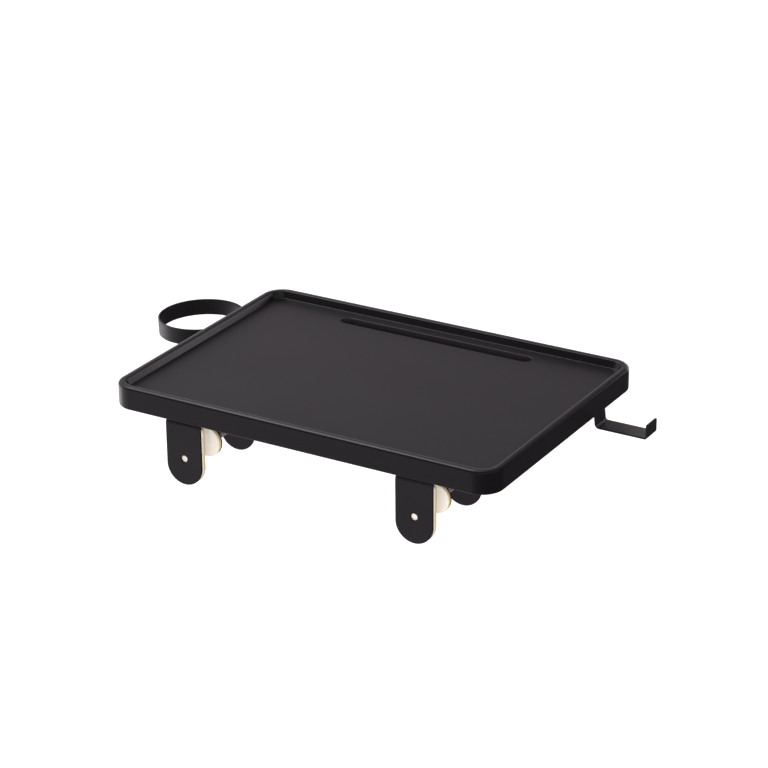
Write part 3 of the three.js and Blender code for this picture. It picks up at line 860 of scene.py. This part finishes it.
def add_clamp(side):
    low, high = corners_of(f"{side}_clamp_screw")
    x = (low.x + high.x) / 2
    screw_height = (low.z + high.z) / 2
    axis = along_y(x, screw_height)
    jaw, screw = f"{side}_jaw", f"{side}_screw"

    def show(name, shape, finish, body, node):
        return add_piece(f"{side}_{name}", finish_mesh(name, shape), finish, body, f"{side}_{node}")

    show("threaded_rod", clamp_screw_bm(low, high, axis), PLATED, screw, "clamp_screw")
    low, high = corners_of(f"{side}_knob")
    show("fluted_knob", knob_bm(low, high, axis), PLASTIC, screw, "knob")
    low, high = corners_of(f"{side}_pressure_disc")
    show("swivel_disc", pressure_disc_bm(low, high, axis), STEEL, jaw, "pressure_disc")
    low, high = corners_of(f"{side}_pressure_pad")
    # The moving pad's painted side shade deepens from buff to tan over twice its edge's round
    soft = 2 * PRESSURE_PAD_EDGE_ROUND
    moving_finish = ("cream_pad", pad_finish(f"{side}_moving_cream", low.y, low.y + soft))
    moving = show("moving_pad", pressure_pad_bm(low, high, axis), moving_finish, jaw, "pressure_pad")
    low, high = corners_of(f"{side}_fixed_jaw_pad")
    # The fixed pad's painted side shade deepens from buff to tan across its middle
    middle = (low.y + high.y) / 2
    side_shade_span = (middle - FIXED_PAD_SHADE_HALF_DEPTH, middle + FIXED_PAD_SHADE_HALF_DEPTH)
    fixed_finish = ("cream_pad", pad_finish(f"{side}_fixed_cream", *side_shade_span))
    fixed = show("fixed_pad", fixed_pad_bm(low, high), fixed_finish, "tray", "fixed_jaw_pad")
    heads = add_wood_screws(f"{side}_bracket", BRACKET_SCREWS)
    low, high = corners_of(f"{side}_clamp_bracket")
    show("bent_bracket", bracket_bm(low, high, screw_height, heads), STEEL, "tray", "clamp_bracket")
    low, high = corners_of(f"{side}_weld_nut")
    show("hex_nut", nut_bm(low, high, axis), STEEL, "tray", "weld_nut")
    corner = NUT_FLATS / math.sqrt(3)
    route = [
        axis @ Vector((corner * math.cos(turn), corner * math.sin(turn), low.y + NUT_BEAD_RADIUS / 2))
        for turn in (2 * math.pi * step / DISC_STEPS for step in range(DISC_STEPS))
    ]
    bead = finish_mesh("nut_bead", bead_bm(route, NUT_BEAD_RADIUS, True))
    add_piece(f"{side}_nut_bead", bead, STEEL, "tray")


# Fittings at the tray's sides

def across_y(y):
    """Carries a point of the XZ plane and a distance across it into the frame."""
    return lambda point, across: Vector((point.x, y + across, point.y))


def fitting_bm(corners, radii, low, high, heads, top):
    body = strip(
        corners, radii, FITTING_THICKNESS, high.y - low.y, [FITTING_CORNER_RADIUS] * 2, FITTING_EDGE_ROUND,
        across_y((low.y + high.y) / 2),
    )
    holes = bmesh.new()
    for head in heads:
        add_lathe(holes, countersink_profile(head.z, top), HOLE_STEPS, upright(head.x, head.y))
    return carve(body, holes)


def add_cup_ring():
    heads = add_wood_screws("cup_ring", FITTING_SCREWS)
    low, high = corners_of("cup_ring")
    centre = (low + high) / 2
    radius = (high.y - low.y) / 2
    edge = RING_EDGE_ROUND
    half = RING_HEIGHT / 2
    inner = radius - RING_WALL
    section = [
        *arc(radius - edge, edge - half, edge, -RIGHT_ANGLE, 0, EDGE_STEPS),
        *arc(radius - edge, half - edge, edge, 0, RIGHT_ANGLE, EDGE_STEPS),
        *arc(inner + edge, half - edge, edge, RIGHT_ANGLE, 2 * RIGHT_ANGLE, EDGE_STEPS),
        *arc(inner + edge, edge - half, edge, 2 * RIGHT_ANGLE, 3 * RIGHT_ANGLE, EDGE_STEPS),
    ]
    tilt = Matrix.Translation(centre) @ Matrix.Rotation(-RING_TILT, 4, "Y")
    bm = bmesh.new()
    add_lathe(bm, section + section[:1], RING_STEPS, tilt)
    add_piece("rolled_ring", finish_mesh("rolled_ring", bm), STEEL, "tray", "cup_ring")

    low, high = corners_of("cup_ring_bracket")
    half_strip = FITTING_THICKNESS / 2
    top = high.z - half_strip
    wall = tilt @ Vector((radius, 0, 0))
    down = Vector((math.sin(RING_TILT), -math.cos(RING_TILT)))
    outward = Vector((math.cos(RING_TILT), math.sin(RING_TILT)))
    on_tab = Vector((wall.x, wall.z)) + outward * (RING_WELD_GAP + half_strip)
    tab_top = on_tab + down * ((top - on_tab.y) / down.y)
    corners = [Vector((high.x, top)), tab_top, tab_top + down * RING_TAB_LENGTH]
    bm = fitting_bm(corners, [FITTING_BEND_RADIUS], low, high, heads, high.z)
    add_piece("ring_strip", finish_mesh("ring_strip", bm), STEEL, "tray", "cup_ring_bracket")

    tab_foot = (top - on_tab.y) / -down.y - RING_TAB_LENGTH
    heights = [tab_foot + RING_BEAD_LENGTH * step / BEAD_STATIONS for step in range(BEAD_STATIONS + 1)]
    reach = (high.y - low.y - RING_BEAD_RADIUS) / 2
    gap_middle = (math.sqrt(radius ** 2 - reach ** 2) + radius + RING_WELD_GAP) / 2
    for side, across in (("front", -reach), ("back", reach)):
        route = [tilt @ Vector((gap_middle, across, height)) for height in heights]
        bead = finish_mesh("ring_bead", bead_bm(route, RING_BEAD_RADIUS, False))
        add_piece(f"ring_{side}_bead", bead, STEEL, "tray")


def add_hook():
    heads = add_wood_screws("hook", FITTING_SCREWS)
    low, high = corners_of("hook")
    half = FITTING_THICKNESS / 2
    top = high.z - half
    arm = low.z + half
    leg_top = low.x + HOOK_FLANGE_LENGTH - half
    leg_foot = leg_top + (top - arm) * math.tan(HOOK_LEAN)
    lip = high.x - half
    corners = [Vector(p) for p in (
        (low.x, top),
        (leg_top, top),
        (leg_foot, arm),
        (lip, arm),
        (lip, low.z + HOOK_LIP_HEIGHT),
    )]
    radii = [FITTING_BEND_RADIUS, FITTING_BEND_RADIUS, HOOK_LIP_BEND_RADIUS]
    bm = fitting_bm(corners, radii, low, high, heads, high.z)
    add_piece("bent_hook", finish_mesh("bent_hook", bm), STEEL, "tray", "hook")


# Tray board

def tray_ring(high, inset, z):
    """Rounded rectangle of the tray's outline drawn in by an inset, at one height."""
    radius = max(TRAY_CORNER_RADIUS - inset, LEAST_RADIUS)
    centre_x = high.x - inset - radius
    centre_y = high.y - inset - radius
    ring = []
    for i, (x, y) in enumerate(((1, 1), (-1, 1), (-1, -1), (1, -1))):
        start = i * RIGHT_ANGLE
        ring += arc(x * centre_x, y * centre_y, radius, start, start + RIGHT_ANGLE, CORNER_STEPS)
    return [Vector((x, y, z)) for x, y in ring]


def slot_ring(centre_y, grow, z):
    """Round-ended outline of the slot, grown by a margin, at one height."""
    half = SLOT_WIDTH / 2
    straight = SLOT_LENGTH / 2 - half
    right = arc(straight, centre_y, half + grow, -RIGHT_ANGLE, RIGHT_ANGLE, 2 * CORNER_STEPS)
    left = arc(-straight, centre_y, half + grow, RIGHT_ANGLE, 3 * RIGHT_ANGLE, 2 * CORNER_STEPS)
    return [Vector((x, y, z)) for x, y in right + left]


def fill_flat(bm, rows):
    """Fills the flat face between an outer loop and the loops inside it."""
    edges = [bm.edges.get((a, b)) for row in rows for a, b in zip(row, row[1:] + row[:1])]
    bmesh.ops.triangle_fill(bm, use_beauty=True, use_dissolve=False, edges=edges)


def add_tray():
    low, high = corners_of("tray_board")
    floor = 0
    under, outer, inner, fillet = UNDERSIDE_ROUND, RIM_OUTER_ROUND, RIM_INNER_ROUND, FLOOR_FILLET
    slant, rise = math.sin(WALL_LEAN), math.cos(WALL_LEAN)
    inner_centre = RIM_WIDTH - inner * (1 - slant) / rise
    fillet_centre = RIM_WIDTH + (fillet + slant * (high.z - floor - fillet)) / rise
    half_top = (inner_centre - outer) / 2
    crown_radius = half_top / math.sin(RIM_CROWN)
    shoulder = high.z - crown_radius * (1 - math.cos(RIM_CROWN))
    section = [
        *arc(under, low.z + under, under, 3 * RIGHT_ANGLE, 2 * RIGHT_ANGLE),
        *arc(outer, shoulder - outer, outer, 2 * RIGHT_ANGLE, RIGHT_ANGLE + RIM_CROWN),
        *arc(outer + half_top, high.z - crown_radius, crown_radius, RIGHT_ANGLE + RIM_CROWN,
             RIGHT_ANGLE - RIM_CROWN),
        *arc(inner_centre, shoulder - inner, inner, RIGHT_ANGLE - RIM_CROWN, WALL_LEAN),
        *arc(fillet_centre, floor + fillet, fillet, 2 * RIGHT_ANGLE + WALL_LEAN, 3 * RIGHT_ANGLE),
    ]
    bm = bmesh.new()
    shell = add_rings(bm, [tray_ring(high, inset, z) for inset, z in section])
    centre_y = high.y - SLOT_SETBACK
    lip, foot = SLOT_LIP_ROUND, SLOT_FOOT_ROUND
    slot_section = [
        *arc(lip, floor - lip, lip, RIGHT_ANGLE, 2 * RIGHT_ANGLE),
        *arc(-foot, SLOT_BOTTOM + foot, foot, 0, -RIGHT_ANGLE),
    ]
    # Marks the slot's faces for the painted light that makes their lacquer paler
    slot_painted_light = bm.faces.layers.float.new("slot_painted_light")
    slot = add_rings(bm, [slot_ring(centre_y, grow, z) for grow, z in slot_section])
    bm.faces.new(slot[-1])
    for vert in chain(*slot):
        for face in vert.link_faces:
            face[slot_painted_light] = 1
    fill_flat(bm, [shell[-1], slot[0]])
    bores = []
    bore_radius = WOOD_SCREW_RADIUS + SEAT_CLEARANCE
    for head, length in pilot_bores:
        top = head.z + length
        circle = arc(head.x, head.y, bore_radius, 0, 2 * math.pi, HOLE_STEPS)[:-1]
        bore = add_rings(bm, [[Vector((*point, z)) for point in circle] for z in (low.z, top)])
        bm.faces.new(bore[-1])
        bores.append(bore[0])
    fill_flat(bm, [shell[0], *bores])
    add_piece("lacquered_board", finish_mesh("lacquered_board", bm), LACQUER, "tray", "tray_board")


for clamp_side in ("left", "right"):
    add_clamp(clamp_side)
add_cup_ring()
add_hook()
add_tray()


# Stage, light and camera

def seen_directly(tree):
    """One for the rays that see the backdrop from the camera or through glass, else zero."""
    path = add_node(tree, "ShaderNodeLightPath").outputs
    rays = {0: path["Is Camera Ray"], 1: path["Is Transmission Ray"]}
    return add_node(tree, "ShaderNodeMath", rays, operation="MAXIMUM").outputs[0]


def add_floor():
    """Plain white floor far below the tray, as under a bed's side rail."""
    bm = bmesh.new()
    bmesh.ops.create_grid(bm, x_segments=FLOOR_SEGMENTS, y_segments=FLOOR_SEGMENTS, size=FLOOR_SIZE / 2)
    mesh = bpy.data.meshes.new("floor")
    bm.to_mesh(mesh)
    bm.free()
    floor = bpy.data.objects.new("floor", mesh)
    floor.location.z = FLOOR_HEIGHT
    floor.visible_glossy = False
    bpy.context.scene.collection.objects.link(floor)
    material, tree, shader = new_material("floor_white")
    shader.inputs["Base Color"].default_value = FLOOR_COLOUR
    shader.inputs["Roughness"].default_value = FLOOR_ROUGHNESS
    shader.inputs["Emission Color"].default_value = WHITE
    glow = {0: seen_directly(tree), 1: FLOOR_GLOW}
    lift = add_node(tree, "ShaderNodeMath", glow, operation="MULTIPLY")
    tree.links.new(lift.outputs[0], shader.inputs["Emission Strength"])
    mesh.materials.append(material)


def add_world():
    """Even light all round, white to the camera and graded in reflections."""
    world = bpy.data.worlds.new("studio")
    world.use_nodes = True
    tree = world.node_tree
    tree.nodes.clear()
    direction = add_node(tree, "ShaderNodeTexCoord").outputs["Generated"]
    across = add_node(tree, "ShaderNodeSeparateXYZ", {"Vector": direction}).outputs["X"]
    leftward = add_node(tree, "ShaderNodeMapRange", {"Value": across, "From Min": 1.0, "From Max": -1.0})
    graded = add_ramp(tree, leftward.outputs["Result"], BACKDROP_STOPS)
    lean = add_node(tree, "ShaderNodeVectorMath", {0: direction, 1: FRONT_ABOVE}, operation="DOT_PRODUCT")
    forward = add_node(tree, "ShaderNodeMapRange", {"Value": lean.outputs["Value"], "From Min": -1.0})
    greys = [(position, (level, level, level)) for position, level in FRONT_LEVELS]
    shade = add_ramp(tree, forward.outputs["Result"], greys)

    def background(colour, strength):
        return add_node(tree, "ShaderNodeBackground", {"Color": colour, "Strength": strength}).outputs[0]

    def mixed(factor, first, second):
        return add_node(tree, "ShaderNodeMixShader", {0: factor, 1: first, 2: second}).outputs[0]

    glossy = add_node(tree, "ShaderNodeLightPath").outputs["Is Glossy Ray"]
    around = mixed(glossy, background(WHITE, AMBIENT_STRENGTH), background(graded, shade))
    seen = mixed(seen_directly(tree), around, background(WHITE, 1.0))
    add_node(tree, "ShaderNodeOutputWorld", {"Surface": seen})
    bpy.context.scene.world = world


def add_softbox(name, place, width, height, power):
    """Soft lamp aimed at the object."""
    light = bpy.data.lights.new(name, "AREA")
    light.shape = "RECTANGLE"
    light.size, light.size_y = width, height
    light.energy = power
    lamp = bpy.data.objects.new(name, light)
    lamp.location = place
    lamp.rotation_euler = (-Vector(place)).to_track_quat("-Z", "Y").to_euler()
    lamp.visible_camera = False
    bpy.context.scene.collection.objects.link(lamp)
    return lamp


def add_camera():
    camera = bpy.data.cameras.new("photo_view")
    camera.sensor_width = SENSOR_WIDTH
    camera.lens = FOCAL_PIXELS * SENSOR_WIDTH / FRAME_PIXELS
    camera.dof.use_dof = False
    holder = bpy.data.objects.new("photo_view", camera)
    flat = math.cos(CAMERA_ELEVATION)
    back = Vector((
        math.sin(CAMERA_AZIMUTH) * flat,
        -math.cos(CAMERA_AZIMUTH) * flat,
        math.sin(CAMERA_ELEVATION),
    ))
    level = Vector((math.cos(CAMERA_AZIMUTH), math.sin(CAMERA_AZIMUTH), 0))
    upward = back.cross(level)
    right = level * math.cos(CAMERA_ROLL) + upward * math.sin(CAMERA_ROLL)
    up = back.cross(right)
    axes = Matrix((right, up, back)).transposed().to_4x4()
    holder.matrix_world = Matrix.Translation(CAMERA_PLACE) @ axes
    bpy.context.scene.collection.objects.link(holder)
    bpy.context.scene.camera = holder


add_floor()
add_world()
add_softbox("overhead", *OVERHEAD)
add_softbox("low_left", *LOW_LEFT)
behind = add_softbox("behind", *BEHIND)
behind.data.color = BEHIND_COLOUR
add_softbox("front_right", *FRONT_RIGHT)
add_softbox("right", *RIGHT)
fill = add_softbox("fill", *FILL)
fill.visible_glossy = False
add_camera()
bpy.context.scene.view_settings.view_transform = "Standard"
